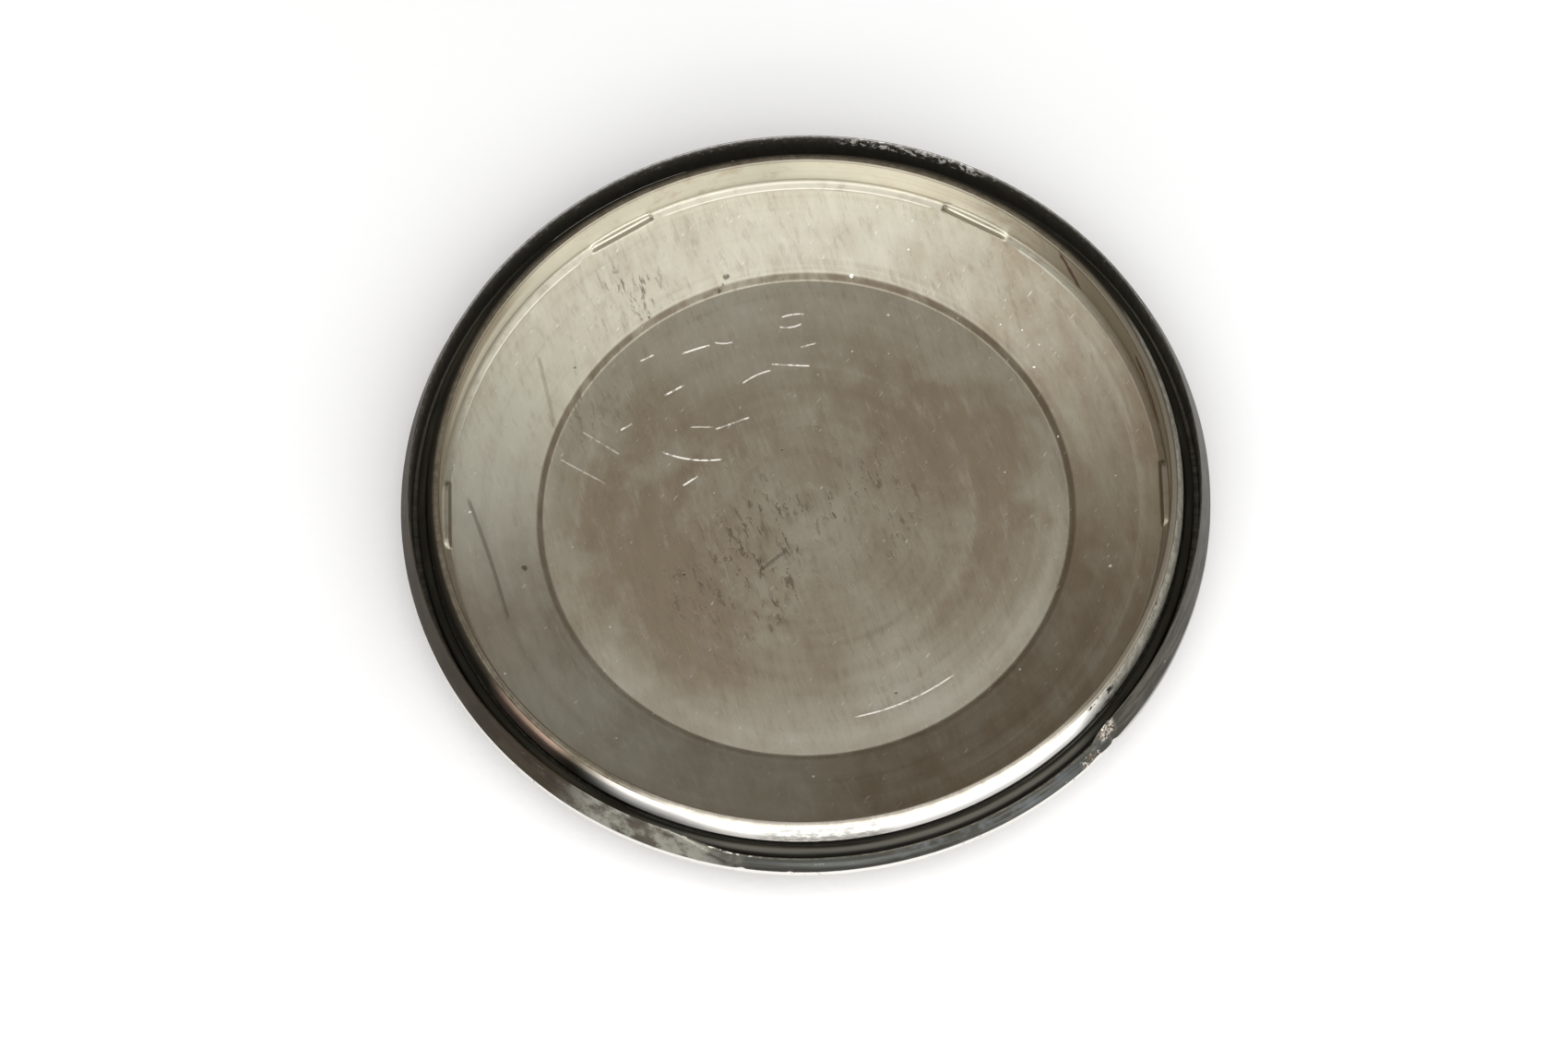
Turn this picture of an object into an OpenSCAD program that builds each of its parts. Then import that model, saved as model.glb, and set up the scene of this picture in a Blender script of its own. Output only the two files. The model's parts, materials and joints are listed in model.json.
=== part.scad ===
// Snap-fit watch case back, inner side up, with its sealing gasket.
// Origin: centre of the flat outside face that it rests on. +Z points into the watch.

/* [Outer ring] */
// Diameter over the ring's outer edge
rim_d = 34; // [33.6:0.1:35]
// Height of the outer edge above the resting face
rim_edge_z = 2.4; // [2.2:0.1:2.6]
// Height of the upright land below the outer edge
rim_land_h = 0.4; // [0.3:0.05:0.6]
// Height of the ring's top
rim_top_z = 3.65; // [3.4:0.05:3.8]
// Bore of the ring, which is the outer wall of the gasket groove
rim_bore_d = 33.1; // [33:0.05:33.2]
// Width of the narrow flat on top of the ring
rim_top_w = 0.06; // [0.04:0.01:0.1]

/* [Snap wall] */
// Bore of the wall, where the movement's holder sits
wall_bore_d = 30.6; // [30.4:0.05:30.7]
// Height of the wall's top, the highest point of the part
wall_top_z = 3.8; // [3.7:0.05:4.2]
// Width of the flat on top of the wall
wall_top_w = 0.27; // [0.2:0.01:0.3]
// Largest diameter of the snap lip
lip_d = 31.7; // [31.66:0.01:31.75]
// Height of the lead-in chamfer above the lip
lip_chamfer_h = 0.43; // [0.3:0.01:0.5]
// Height of the lip's straight land
lip_land_h = 0.52; // [0.4:0.01:0.6]
// Diameter of the relieved neck below the lip
neck_d = 31.3; // [31.2:0.05:31.4]
// Height of the sloped undercut between lip and neck
undercut_h = 0.15; // [0.1:0.01:0.16]

/* [Gasket groove and gasket] */
// Height of the groove's floor
groove_floor_z = 2; // [1.95:0.01:2.05]
// Bore of the gasket, just wide enough to pass over the lip
gasket_bore_d = 31.8; // [31.78:0.01:31.86]
// Radial width of the gasket's section
gasket_w = 0.4; // [0.3:0.01:0.5]
// Height of the gasket's section
gasket_h = 0.68; // [0.5:0.01:0.7]
// Radius of the gasket's rounded edges
gasket_edge_r = 0.12; // [0.05:0.01:0.15]

/* [Floor] */
// Thickness of the flat centre
floor_t = 0.8; // [0.6:0.05:0.9]
// Diameter of the flat centre recess, at its bottom
recess_d = 22.2; // [20:0.1:24]
// Depth of the step around the recess, which is cut at 45 degrees
recess_step = 0.25; // [0.15:0.01:0.35]
// Height at which the dished floor meets the foot of the wall
dish_edge_z = 1.8; // [1.7:0.01:1.9]
// Width of the sloped foot between the dished floor and the wall
foot_w = 0.3; // [0.2:0.01:0.35]
// Height of the sloped foot
foot_h = 0.2; // [0.15:0.01:0.25]

/* [Outside] */
// Diameter of the flat face that it rests on
base_d = 22; // [18:0.5:24]
// Diameter of the shoulder between the shallow cone and the rim's underside
shoulder_d = 31.6; // [31:0.1:32]
// Height of that shoulder
shoulder_z = 1.15; // [1:0.05:1.2]

/* [Pressed stops] */
// Number of stops around the foot of the wall
stop_count = 6; // [3:1:8]
// Direction of the first stop, in degrees from +X
stop_first = -1.5; // [-30:0.5:30]
// Length of each stop, along its straight inner face
stop_l = 3; // [2:0.1:4]
// Distance from the axis to the foot of a stop's straight, sloped inner face
stop_face_x = 14.9; // [14.8:0.01:14.92]
// Angle of that face above the horizontal
stop_face_a = 66; // [55:1:80]
// Height of the stops' tops
stop_top_z = 2.06; // [2.03:0.01:2.12]
// Depth of the punched slot outside, under each stop
slot_depth = 0.3; // [0.1:0.05:0.35]
// Width of the punched slot outside
slot_w = 0.9; // [0.5:0.05:1]

/* [Knife notch] */
// Direction of the middle of the notch, in degrees from +X
notch_at = 284; // [0:1:359]
// Angle that the notch spans at full depth
notch_span = 54; // [20:1:90]
// Height of the ring's inner edge in the notch
notch_z = 2.86; // [2.8:0.01:3]
// Slope of the notch's face, down and outwards
notch_a = 50; // [48:1:55]
// Length of the run-out at each end of the notch
notch_run = 2.4; // [2:0.1:3]

/* [Hidden] */
$fn = 180;
STEEL = "#9a9384";
RUBBER = "#1d1c18";
rim_r = rim_d / 2;
rim_bore_r = rim_bore_d / 2;
wall_bore_r = wall_bore_d / 2;
lip_r = lip_d / 2;
neck_r = neck_d / 2;
lip_top_z = wall_top_z - lip_chamfer_h;
lip_low_z = lip_top_z - lip_land_h;
recess_r = recess_d / 2;
dish_r = wall_bore_r - foot_w;
shoulder_r = shoulder_d / 2;
// Height of the dished floor where a stop's face rises out of it
stop_foot_z = dish_edge_z - (dish_r - stop_face_x) * (dish_edge_z - floor_t - recess_step)
    / (dish_r - recess_r - recess_step) - 0.01;
// Slope of the outside cone, which the punched slots follow
cone_a = atan2(shoulder_z, shoulder_r - base_d / 2);
// A slot's near side lies a little inside its stop's face, as the punch draws the metal over
slot_r = stop_face_x - 0.35;
// How far a stop reaches down into the floor, and outwards into the wall
stop_root = 0.4;
stop_bite = 0.1;
// Room past a surface, so that cutters start clear of it
over = 1;
// How far the notch's cutters start inside the ring's bore, over the open groove
notch_lead = 0.3;
// Rise from the notch's face to the ring's top, square to that face
notch_rise = (rim_top_z - notch_z) * cos(notch_a);
// The round cutter dips slightly below the face, a little inside the notch's end
end_r = notch_run * notch_run / (2 * notch_rise);
end_dip = 0.02;
end_inset = 1;
// Its length down the slope, and how much of that lies before the ring's bore
end_l = 2.2;
end_lead = 0.8;

// Half section of the steel back, from the axis outwards along the bottom and back along the top
module back_section() {
    polygon([
        [0, 0],
        [base_d / 2, 0],
        [shoulder_r, shoulder_z],
        [rim_r, rim_edge_z - rim_land_h],
        [rim_r, rim_edge_z],
        [rim_bore_r + rim_top_w, rim_top_z],
        [rim_bore_r, rim_top_z],
        [rim_bore_r, groove_floor_z],
        [neck_r, groove_floor_z],
        [neck_r, lip_low_z - undercut_h],
        [lip_r, lip_low_z],
        [lip_r, lip_top_z],
        [wall_bore_r + wall_top_w, wall_top_z],
        [wall_bore_r, wall_top_z],
        [wall_bore_r, dish_edge_z + foot_h],
        [dish_r, dish_edge_z],
        [recess_r + recess_step, floor_t + recess_step],
        [recess_r, floor_t],
        [0, floor_t],
    ]);
}

// One stop: a straight bar against the foot of the wall, with a sloped inner face
module stop() {
    low = dish_edge_z - stop_root;
    rise = stop_top_z - stop_foot_z;
    rotate([90, 0, 0]) linear_extrude(stop_l, center = true) polygon([
        [stop_face_x, low],
        [stop_face_x, stop_foot_z],
        [stop_face_x + rise / tan(stop_face_a), stop_top_z],
        [wall_bore_r + stop_bite, stop_top_z],
        [wall_bore_r + stop_bite, low],
    ]);
}

// The slot that the punch leaves outside, under a stop
module punched_slot() {
    translate([base_d / 2, 0, 0])
        rotate([0, -cone_a, 0])
        translate([(slot_r - base_d / 2) / cos(cone_a), -stop_l / 2, -over])
        cube([slot_w, stop_l, over + slot_depth]);
}

// Cutter for one run-out of the notch, side = 1 or -1: a round cutter that lifts out of the ring
module notch_end(side) {
    rotate([0, 0, notch_at + side * (notch_span / 2 - end_inset)])
        translate([rim_bore_r, 0, notch_z])
        rotate([0, notch_a, 0])
        translate([-end_lead, 0, end_r - end_dip])
        rotate([0, 90, 0])
        cylinder(r = end_r, h = end_l);
}

// Everything that the knife notch takes off the outer ring
module knife_notch() {
    inner = rim_bore_r - notch_lead;
    outer = rim_r + over;
    rotate([0, 0, notch_at - notch_span / 2]) rotate_extrude(angle = notch_span) polygon([
        [inner, notch_z + (rim_bore_r - inner) * tan(notch_a)],
        [outer, notch_z - (outer - rim_bore_r) * tan(notch_a)],
        [outer, rim_top_z + over],
        [inner, rim_top_z + over],
    ]);
    notch_end(1);
    notch_end(-1);
}

module case_back() {
    color(STEEL) difference() {
        union() {
            rotate_extrude() back_section();
            for (i = [0 : stop_count - 1]) rotate([0, 0, stop_first + i * 360 / stop_count]) stop();
        }
        for (i = [0 : stop_count - 1]) rotate([0, 0, stop_first + i * 360 / stop_count]) punched_slot();
        knife_notch();
    }
}

module gasket() {
    inner = gasket_bore_d / 2;
    color(RUBBER) translate([0, 0, groove_floor_z]) rotate_extrude() union() {
        translate([inner + gasket_edge_r, 0]) square([gasket_w - 2 * gasket_edge_r, gasket_h]);
        translate([inner, gasket_edge_r]) square([gasket_w, gasket_h - 2 * gasket_edge_r]);
        for (x = [gasket_edge_r, gasket_w - gasket_edge_r], z = [gasket_edge_r, gasket_h - gasket_edge_r])
            translate([inner + x, z]) circle(gasket_edge_r, $fn = 32);
    }
}

case_back();
gasket();
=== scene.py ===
"""A snap-fit watch case back marked by long wear, inner side up, with its rubber gasket, lying on pale
paper.
"""

import json
import math
import random

import bpy
import numpy as np
from mathutils import Matrix, Vector


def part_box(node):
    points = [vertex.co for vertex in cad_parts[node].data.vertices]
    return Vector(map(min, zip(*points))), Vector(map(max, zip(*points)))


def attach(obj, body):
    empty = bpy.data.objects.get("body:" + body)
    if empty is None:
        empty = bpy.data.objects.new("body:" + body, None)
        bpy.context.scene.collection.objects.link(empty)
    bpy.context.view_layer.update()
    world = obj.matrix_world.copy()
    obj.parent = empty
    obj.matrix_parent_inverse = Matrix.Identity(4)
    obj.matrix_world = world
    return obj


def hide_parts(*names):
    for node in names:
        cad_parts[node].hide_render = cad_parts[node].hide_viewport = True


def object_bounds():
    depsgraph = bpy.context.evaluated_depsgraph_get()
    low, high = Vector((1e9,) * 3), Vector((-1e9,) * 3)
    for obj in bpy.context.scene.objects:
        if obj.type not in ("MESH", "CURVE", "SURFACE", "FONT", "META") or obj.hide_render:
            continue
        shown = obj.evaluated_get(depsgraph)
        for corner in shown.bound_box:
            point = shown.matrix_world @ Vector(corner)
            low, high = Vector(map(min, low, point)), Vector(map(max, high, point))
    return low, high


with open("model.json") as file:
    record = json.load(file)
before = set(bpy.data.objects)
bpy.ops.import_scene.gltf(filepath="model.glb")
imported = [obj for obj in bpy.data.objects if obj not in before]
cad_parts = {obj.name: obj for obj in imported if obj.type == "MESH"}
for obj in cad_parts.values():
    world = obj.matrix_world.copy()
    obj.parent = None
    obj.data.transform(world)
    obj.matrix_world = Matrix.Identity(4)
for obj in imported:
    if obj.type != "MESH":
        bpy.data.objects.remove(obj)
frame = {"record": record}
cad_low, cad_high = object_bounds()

MM = 0.001

# ---------------------------------------------------------------- sizes, in mm, as the CAD model has them

back_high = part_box("case_back")[1]
gasket_low, gasket_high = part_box("gasket")
mounts = {m["name"]: m for m in frame["record"]["mounts"]}

RIM_R = back_high.x / MM
WALL_TOP = back_high.z / MM
LIP_R = mounts["snap_lip"]["dims"]["r_mm"]
WALL_R = mounts["movement_seat"]["dims"]["r_mm"]
GROOVE_Z = gasket_low.z / MM
GASKET_R = gasket_high.x / MM
GASKET_TOP = gasket_high.z / MM

GASKET_W = 0.4
RIM_EDGE_Z = 2.4
RIM_LAND = 0.4
RIM_TOP = 3.65
RIM_BORE = 16.55
RIM_FLAT = 0.06
WALL_FLAT = 0.27
LIP_CHAMFER = 0.43
LIP_LAND = 0.52
UNDERCUT = 0.15
LIP_TOP = WALL_TOP - LIP_CHAMFER
LIP_LOW = LIP_TOP - LIP_LAND
NECK_R = 15.65
NECK_TOP = LIP_LOW - UNDERCUT
FLOOR_Z = 0.8
RECESS_R = 11.1
RECESS_STEP = 0.25
DISH_R = 15.0
DISH_Z = 1.8
FOOT_Z = 2.0
BASE_R = 11.0
SHOULDER = (15.8, 1.15)

STOP_FIRST = -1.5
STOP_COUNT = 6
STOP_FACE = 14.9
STOP_HALF = 1.5
STOP_TOP = 2.06
STOP_SLOPE = math.tan(math.radians(66))
SLOT_IN = STOP_FACE - 0.35
SLOT_OUT = SLOT_IN + 0.9
SLOT_DEPTH = 0.3

NOTCH_FROM = 253.0
NOTCH_TO = 313.0
NOTCH_Z = 2.86


# ---------------------------------------------------------------- small helpers

def ease(x, low, high):
    """0 below low, 1 above high, and a smooth S between them."""
    t = min(1.0, max(0.0, (x - low) / (high - low)))
    return t * t * (3 - 2 * t)


def blend(a, b, t):
    return a + (b - a) * t


def bump(angle, centre, width, height):
    """A smooth dent or burr of this height at one direction, in degrees."""
    away = (angle - centre + 180) % 360 - 180
    return height * math.exp(-((away / width) ** 2))


def wander(angle, seed, waves=(3, 5, 8, 13), size=1.0):
    """A slow random wave round the part, from -size to size."""
    rng = random.Random(seed)
    total = sum(math.sin(math.radians(angle) * n + rng.uniform(0, math.tau)) / n**0.5 for n in waves)
    return size * total / sum(1 / n**0.5 for n in waves)


def from_stop(angle):
    """How far a direction is from the middle of the nearest stop, in degrees."""
    pitch = 360 / STOP_COUNT
    return (angle - STOP_FIRST + pitch / 2) % pitch - pitch / 2


# ---------------------------------------------------------------- the steel back's section

STOP_EDGE = math.degrees(math.atan2(STOP_HALF, STOP_FACE))


def dish_z(r):
    """Height of the dished floor."""
    low = FLOOR_Z + RECESS_STEP
    inner = RECESS_R + RECESS_STEP
    return low + (r - inner) / (DISH_R - inner) * (DISH_Z - low)


def cone_z(r):
    """Height of the shallow cone outside."""
    return SHOULDER[1] * (r - BASE_R) / (SHOULDER[0] - BASE_R)


def ring_top(angle):
    """The inner and outer corner of the ring's top. The knife notch starts softly and ends at a burr."""
    start = ease(angle, NOTCH_FROM - 6.5, NOTCH_FROM + 5.5)
    end = ease(angle, NOTCH_TO - 1.8, NOTCH_TO + 2.6)
    depth = start * (1 - end)
    top = RIM_TOP - 0.012 * (1 + wander(angle, 5, (7, 11, 19)))
    burr = bump(angle, 314.2, 0.8, 0.05) - bump(angle, 312.3, 0.6, 0.08) - bump(angle, 316.6, 0.9, 0.06)
    inner_z = blend(top, NOTCH_Z + 0.02 * wander(angle, 9, (17, 29, 41)), depth) + burr
    outer_r = blend(RIM_BORE + RIM_FLAT, RIM_R - 0.05, depth)
    outer_z = RIM_EDGE_Z + (RIM_R - outer_r) / (RIM_R - RIM_BORE - RIM_FLAT) * (RIM_TOP - RIM_EDGE_Z)
    return (RIM_BORE, min(RIM_TOP, inner_z)), (outer_r, min(inner_z, outer_z))


def edge_dent(angle):
    """How far the outer edge is pushed in by knocks and by the case knife."""
    knocks = [
        (258.2, 0.5, 0.07),
        (265.0, 0.35, 0.05),
        (312.6, 1.0, 0.06),
        (316.0, 0.5, 0.09),
        (150.5, 0.4, 0.05),
    ]
    uneven = 0.006 * (1 + wander(angle, 3, (9, 16, 27, 44)))
    return uneven + sum(bump(angle, *k) for k in knocks)


def section(angle):
    """Corners of the half section at one direction, out along the inside and back under the outside.

    Each is (r, z, reach of its bend, arc steps, cuts in the straight after it, look of that straight)."""
    off = from_stop(angle)
    straight = 1 / math.cos(math.radians(min(abs(off), 9.0)))
    near = 1 - ease(abs(off), 7.0, 9.0)
    stop = 1 - ease(abs(off), STOP_EDGE - 0.7, STOP_EDGE + 0.3)
    face = STOP_FACE * blend(1.0, straight, near)
    face_top = face + blend(0.05, (STOP_TOP - dish_z(face)) / STOP_SLOPE, stop)
    slot = 1 - ease(abs(off), STOP_EDGE - 0.12, STOP_EDGE + 0.12)
    slot_in = SLOT_IN * blend(1.0, straight, near)
    slot_out = min(SLOT_OUT * blend(1.0, straight, near), SHOULDER[0] - 0.1)
    dent = edge_dent(angle)
    (bore_r, bore_z), (top_r, top_z) = ring_top(angle)
    drop = 0.01 * (1 + wander(angle, 21, (4, 7, 12)))
    edge_z = min(RIM_EDGE_Z, top_z - 0.02) - 0.4 * dent
    return [
        (RECESS_R, FLOOR_Z, 0.04, 2, 2, "floor"),
        (RECESS_R + RECESS_STEP, FLOOR_Z + RECESS_STEP, 0.06, 3, 5, "floor"),
        (face, dish_z(face), 0.03, 2, 0, "foot"),
        (face_top, blend(dish_z(face_top), STOP_TOP, stop), 0.025, 2, 0, "foot"),
        (blend(DISH_R, 15.15, stop), blend(DISH_Z, STOP_TOP, stop), 0.05, 3, 0, "foot"),
        (WALL_R, blend(FOOT_Z, STOP_TOP, stop), 0.16, 4, 2, "wall"),
        (WALL_R, WALL_TOP - drop, 0.07, 3, 0, "crest"),
        (WALL_R + WALL_FLAT, WALL_TOP - drop, 0.07, 3, 2, "lip"),
        (LIP_R, LIP_TOP, 0.20, 5, 2, "lip"),
        (LIP_R, LIP_LOW, 0.05, 3, 0, "groove"),
        (NECK_R, NECK_TOP, 0.04, 2, 0, "groove"),
        (NECK_R, GROOVE_Z, 0.08, 2, 0, "groove"),
        (RIM_BORE, GROOVE_Z, 0.08, 2, 3, "groove"),
        (bore_r, bore_z, 0.10, 3, 0, "ring"),
        (top_r - 0.5 * dent, top_z, 0.04, 3, 3, "ring"),
        (RIM_R - dent, edge_z, 0.05, 3, 0, "land"),
        (RIM_R, RIM_EDGE_Z - RIM_LAND, 0.08, 3, 0, "outside"),
        (*SHOULDER, 0.15, 3, 0, "outside"),
        (slot_out, cone_z(slot_out), 0.02, 1, 0, "outside"),
        (slot_out - 0.04, cone_z(slot_out) + SLOT_DEPTH * slot, 0.02, 1, 0, "outside"),
        (slot_in + 0.04, cone_z(slot_in + 0.04) + SLOT_DEPTH * slot, 0.02, 1, 0, "outside"),
        (slot_in, cone_z(slot_in), 0.02, 1, 3, "outside"),
        (BASE_R, 0.0, 0.3, 3, 2, "outside"),
    ]


def rounded(corners, start, end, start_cuts):
    """Points from start to end past the corners, with a soft bend at each and guard points beside it."""
    path = [(*start, 0.0), *[c[:3] for c in corners], (*end, 0.0)]
    plan = [(0, start_cuts, corners[0][5]), *[c[3:] for c in corners]]
    points = [start]
    looks = []
    for i in range(1, len(path)):
        here, there = np.array(path[i - 1][:2]), np.array(path[i][:2])
        length = np.linalg.norm(there - here)
        way = (there - here) / length
        first = min(path[i - 1][2], 0.45 * length)
        last = min(path[i][2], 0.45 * length)
        cuts, look = plan[i - 1][1:]
        guard = min(0.03, 0.15 * (length - first - last))
        a, b = here + way * (first + guard), there - way * (last + guard)
        places = [a, *[blend(a, b, (k + 1) / (cuts + 1)) for k in range(cuts)], b]
        if i < len(path) - 1:
            after = np.array(path[i + 1][:2])
            out = np.linalg.norm(after - there)
            reach = min(path[i][2], 0.45 * out)
            p0, p2 = there - way * last, there + (after - there) / out * reach
            arc = plan[i][0]
            bend = [
                (1 - t) ** 2 * p0 + 2 * t * (1 - t) * there + t * t * p2
                for t in [k / arc for k in range(arc + 1)]
            ]
        else:
            bend = []
        points += [tuple(p) for p in places + bend]
        looks += [look] * len(places + bend)
    return points, looks


# ---------------------------------------------------------------- meshes

def directions(even, close, spacing):
    """Directions all the way round, in degrees: even ones, and extra ones near the places in close."""
    every = [i * 360 / even for i in range(even)]
    for centre, half in close:
        count = round(half / spacing)
        every += [(centre + k * spacing) % 360 for k in range(-count, count + 1)]
    kept = []
    for a in sorted(every):
        if not kept or a - kept[-1] > spacing * 0.6:
            kept.append(a)
    return kept


def lathe(name, angles, make, materials, poles):
    """A mesh round the axis. make(angle) gives the points (r, z) and the look of each stretch between."""
    verts, faces, slots = [], [], []
    names = list(materials)
    count = None
    for angle in angles:
        points, looks = make(angle)
        count = len(points)
        c, s = math.cos(math.radians(angle)), math.sin(math.radians(angle))
        verts += [(r * c * MM, r * s * MM, z * MM) for r, z in points]
    turn = len(angles)
    for i in range(turn):
        a, b = i * count, (i + 1) % turn * count
        for j in range(count - 1 if poles else count):
            k = (j + 1) % count
            faces.append((a + j, a + k, b + k, b + j))
            slots.append(names.index(looks[j]))
        if poles:
            top, bottom = turn * count, turn * count + 1
            faces.append((top, a, b))
            slots.append(names.index(looks[0]))
            faces.append((bottom, b + count - 1, a + count - 1))
            slots.append(names.index(looks[-1]))
    if poles:
        verts += [(0, 0, z * MM) for z in poles]
    mesh = bpy.data.meshes.new(name)
    mesh.from_pydata(verts, [], faces)
    for m in materials.values():
        mesh.materials.append(m)
    mesh.polygons.foreach_set("material_index", slots)
    mesh.polygons.foreach_set("use_smooth", [True] * len(faces))
    mesh.validate()
    mesh.update()
    piece = bpy.data.objects.new(name, mesh)
    bpy.context.scene.collection.objects.link(piece)
    return piece


# ---------------------------------------------------------------- node helpers

class Net:
    """A material's node tree, with one short call for each kind of node that the looks below use."""

    def __init__(self, name):
        self.material = bpy.data.materials.new(name)
        self.material.use_nodes = True
        self.tree = self.material.node_tree
        self.tree.nodes.clear()
        where = self.add("ShaderNodeTexCoord").outputs["Object"]
        self.place = self.vector("SCALE", where, scale=1 / MM)
        parts = self.add("ShaderNodeSeparateXYZ")
        self.join(parts.inputs[0], self.place)
        self.x, self.y, self.z = parts.outputs
        flat = self.combine(self.x, self.y, 0.0)
        self.r = self.vector("LENGTH", flat)
        self.angle = self.math("ARCTAN2", self.y, self.x)
        self.degrees = self.math("FLOORED_MODULO", self.math("DEGREES", self.angle), 360.0)

    def add(self, kind, **settings):
        node = self.tree.nodes.new(kind)
        for key, value in settings.items():
            setattr(node, key, value)
        return node

    def join(self, socket, value):
        if isinstance(value, bpy.types.NodeSocket):
            self.tree.links.new(value, socket)
        elif value is not None:
            socket.default_value = value

    def math(self, operation, a, b=None, c=None, clamp=False):
        node = self.add("ShaderNodeMath", operation=operation, use_clamp=clamp)
        for socket, value in zip(node.inputs, (a, b, c)):
            self.join(socket, value)
        return node.outputs[0]

    def vector(self, operation, a, b=None, scale=None):
        node = self.add("ShaderNodeVectorMath", operation=operation)
        self.join(node.inputs[0], a)
        self.join(node.inputs[1], b)
        if scale is not None:
            node.inputs["Scale"].default_value = scale
        return node.outputs["Value" if operation in ("LENGTH", "DOT_PRODUCT") else "Vector"]

    def combine(self, x, y, z):
        node = self.add("ShaderNodeCombineXYZ")
        for socket, value in zip(node.inputs, (x, y, z)):
            self.join(socket, value)
        return node.outputs[0]

    def between(self, value, low, high, to_low=0.0, to_high=1.0, smooth=True):
        node = self.add("ShaderNodeMapRange", interpolation_type="SMOOTHSTEP" if smooth else "LINEAR")
        for socket, v in zip(node.inputs, (value, low, high, to_low, to_high)):
            self.join(socket, v)
        return node.outputs[0]

    def noise(self, vector, scale, detail=2.0, rough=0.5):
        node = self.add("ShaderNodeTexNoise")
        for key, value in (("Vector", vector), ("Scale", scale), ("Detail", detail), ("Roughness", rough)):
            self.join(node.inputs[key], value)
        return node.outputs["Fac"]

    def specks(self, vector, scale, share, size):
        """Sparse round specks: share of the cells that hold one, and its radius as a part of the cell."""
        node = self.add("ShaderNodeTexVoronoi")
        self.join(node.inputs["Vector"], vector)
        self.join(node.inputs["Scale"], scale)
        parts = self.add("ShaderNodeSeparateXYZ")
        self.join(parts.inputs[0], node.outputs["Color"])
        chosen = self.math("LESS_THAN", parts.outputs[0], share)
        radius = self.math("MULTIPLY", parts.outputs[1], size)
        inside = self.between(self.math("DIVIDE", node.outputs["Distance"], radius), 1.0, 0.6)
        return self.math("MULTIPLY", inside, chosen)

    def grain(self, turn, along, across, shift=0.0):
        """Coordinates that stretch a pattern along one direction: turn in degrees from +Y towards -X."""
        node = self.add("ShaderNodeMapping", vector_type="TEXTURE")
        self.join(node.inputs["Vector"], self.place)
        node.inputs["Location"].default_value = (shift, shift, 0)
        node.inputs["Rotation"].default_value = (0, 0, math.radians(turn))
        node.inputs["Scale"].default_value = (across, along, 1)
        return node.outputs[0]

    def turned(self, fine, along):
        """Coordinates for marks that run round the axis: fine marks per mm, each about along mm long."""
        sweep = self.math("MULTIPLY", self.angle, RIM_R / along)
        return self.combine(
            self.math("MULTIPLY", self.r, fine), self.math("MULTIPLY", self.z, fine), sweep
        )

    def mix(self, share, a, b):
        node = self.add("ShaderNodeMix", data_type="RGBA")
        self.join(node.inputs["Factor"], share)
        for key, value in (("A", a), ("B", b)):
            socket = [s for s in node.inputs if s.name == key and s.type == "RGBA"][0]
            self.join(socket, (*value, 1.0) if isinstance(value, tuple) else value)
        return [s for s in node.outputs if s.type == "RGBA"][0]

    def sum(self, *values):
        total = values[0]
        for v in values[1:]:
            total = self.math("ADD", total, v)
        return total

    def times(self, *values):
        total = values[0]
        for v in values[1:]:
            total = self.math("MULTIPLY", total, v)
        return total

    def arc(self, middle, spread, soft=1.5):
        """1 near one direction from the axis, in degrees, and 0 away from it."""
        away = self.math("ABSOLUTE", self.math("SUBTRACT", self.degrees, middle))
        away = self.math("MINIMUM", away, self.math("SUBTRACT", 360.0, away))
        return self.between(away, spread + soft, spread)

    def from_stop(self):
        """How far the direction is from the middle of the nearest stop, in degrees."""
        pitch = 360 / STOP_COUNT
        past = self.math("SUBTRACT", self.degrees, STOP_FIRST - pitch / 2)
        turn = self.math("FLOORED_MODULO", past, pitch)
        return self.math("ABSOLUTE", self.math("SUBTRACT", turn, pitch / 2))

    def distance(self, x, y):
        """How far away the upright line through (x, y) is, in mm."""
        across = self.combine(self.math("SUBTRACT", self.x, x), self.math("SUBTRACT", self.y, y), 0.0)
        return self.vector("LENGTH", across)

    def finish(self, colour, rough, height=None, depth=0.01, metal=1.0, turned=0.0, shine=0.5):
        """The shader. depth is the bump's height in mm, and turned spreads the shine across turned marks."""
        shader = self.add("ShaderNodeBsdfPrincipled")
        shader.inputs["Specular IOR Level"].default_value = shine
        if turned:
            shader.inputs["Anisotropic"].default_value = turned
            shader.inputs["Anisotropic Rotation"].default_value = 0.25
            way = self.add("ShaderNodeTangent", direction_type="RADIAL", axis="Z")
            self.join(shader.inputs["Tangent"], way.outputs[0])
        out = self.add("ShaderNodeOutputMaterial")
        self.join(shader.inputs["Base Color"], (*colour, 1.0) if isinstance(colour, tuple) else colour)
        self.join(shader.inputs["Roughness"], rough)
        self.join(shader.inputs["Metallic"], metal)
        if height is not None:
            relief = self.add("ShaderNodeBump")
            relief.inputs["Strength"].default_value = 1.0
            relief.inputs["Distance"].default_value = depth * MM
            self.join(relief.inputs["Height"], height)
            self.join(shader.inputs["Normal"], relief.outputs[0])
        self.join(out.inputs["Surface"], shader.outputs[0])
        return self.material


# ---------------------------------------------------------------- looks

GRAIN_TURN = 14.0

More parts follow.
